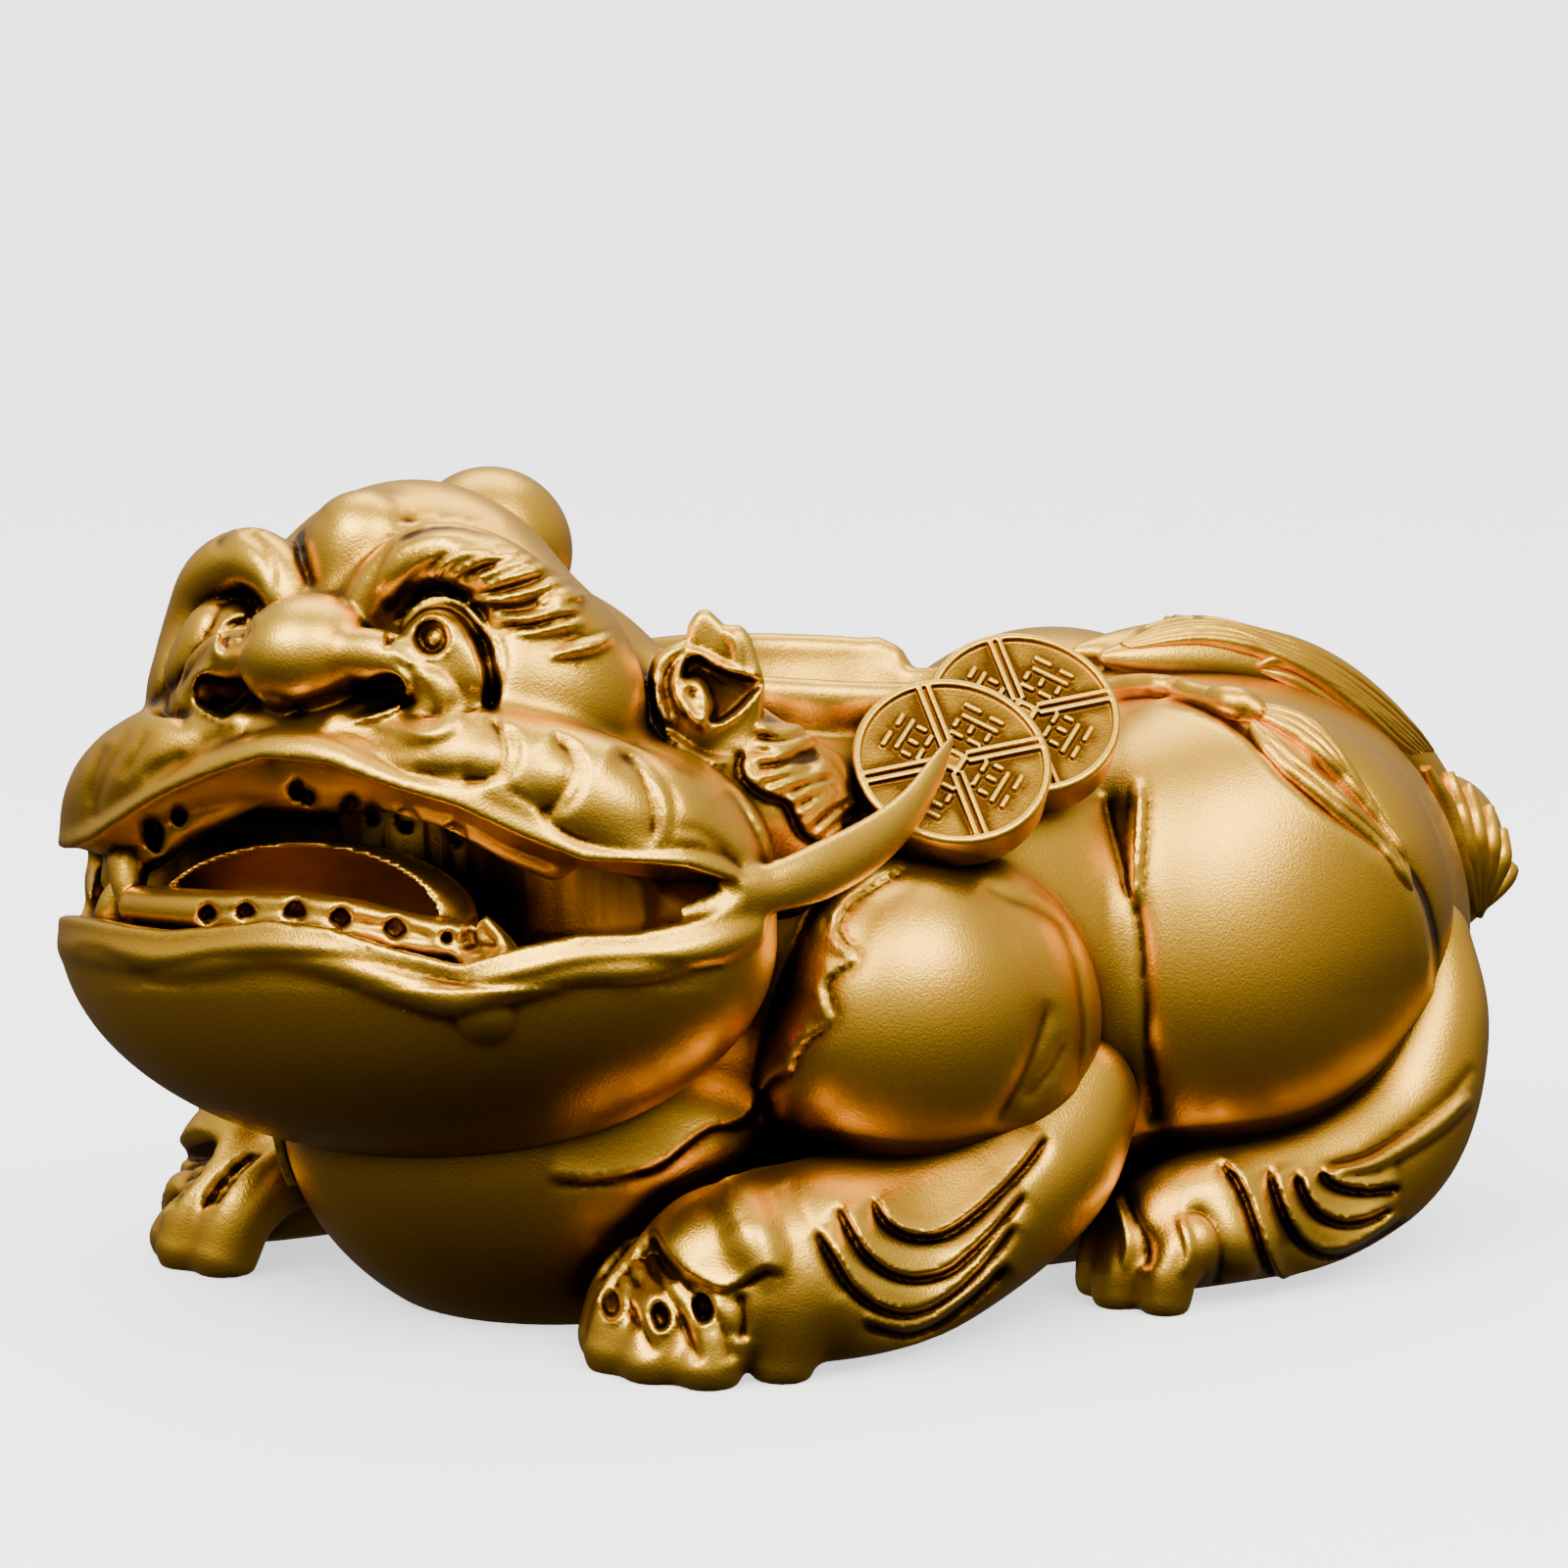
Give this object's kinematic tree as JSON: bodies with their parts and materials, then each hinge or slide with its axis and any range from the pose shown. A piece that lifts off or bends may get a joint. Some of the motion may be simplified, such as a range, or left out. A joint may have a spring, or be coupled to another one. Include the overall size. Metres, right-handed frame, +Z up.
{
  "type": "pixiu figure",
  "caption": "Cast pixiu lying on its belly, head turned and mouth open, with coins on a cord at its side and an open bowl in its back.",
  "frame": {"origin": "on the ground, under the middle of the figure's box", "axes": "+Z up, the animal faces -Y, its left side with the coins is +X"},
  "size_m": [0.1458, 0.2518, 0.1306],
  "materials": {
    "gold": "satin gold with a fine grain, browned in the hollows"
  },
  "bodies": {
    "root": {"pixiu": "gold"}
  },
  "joints": []
}
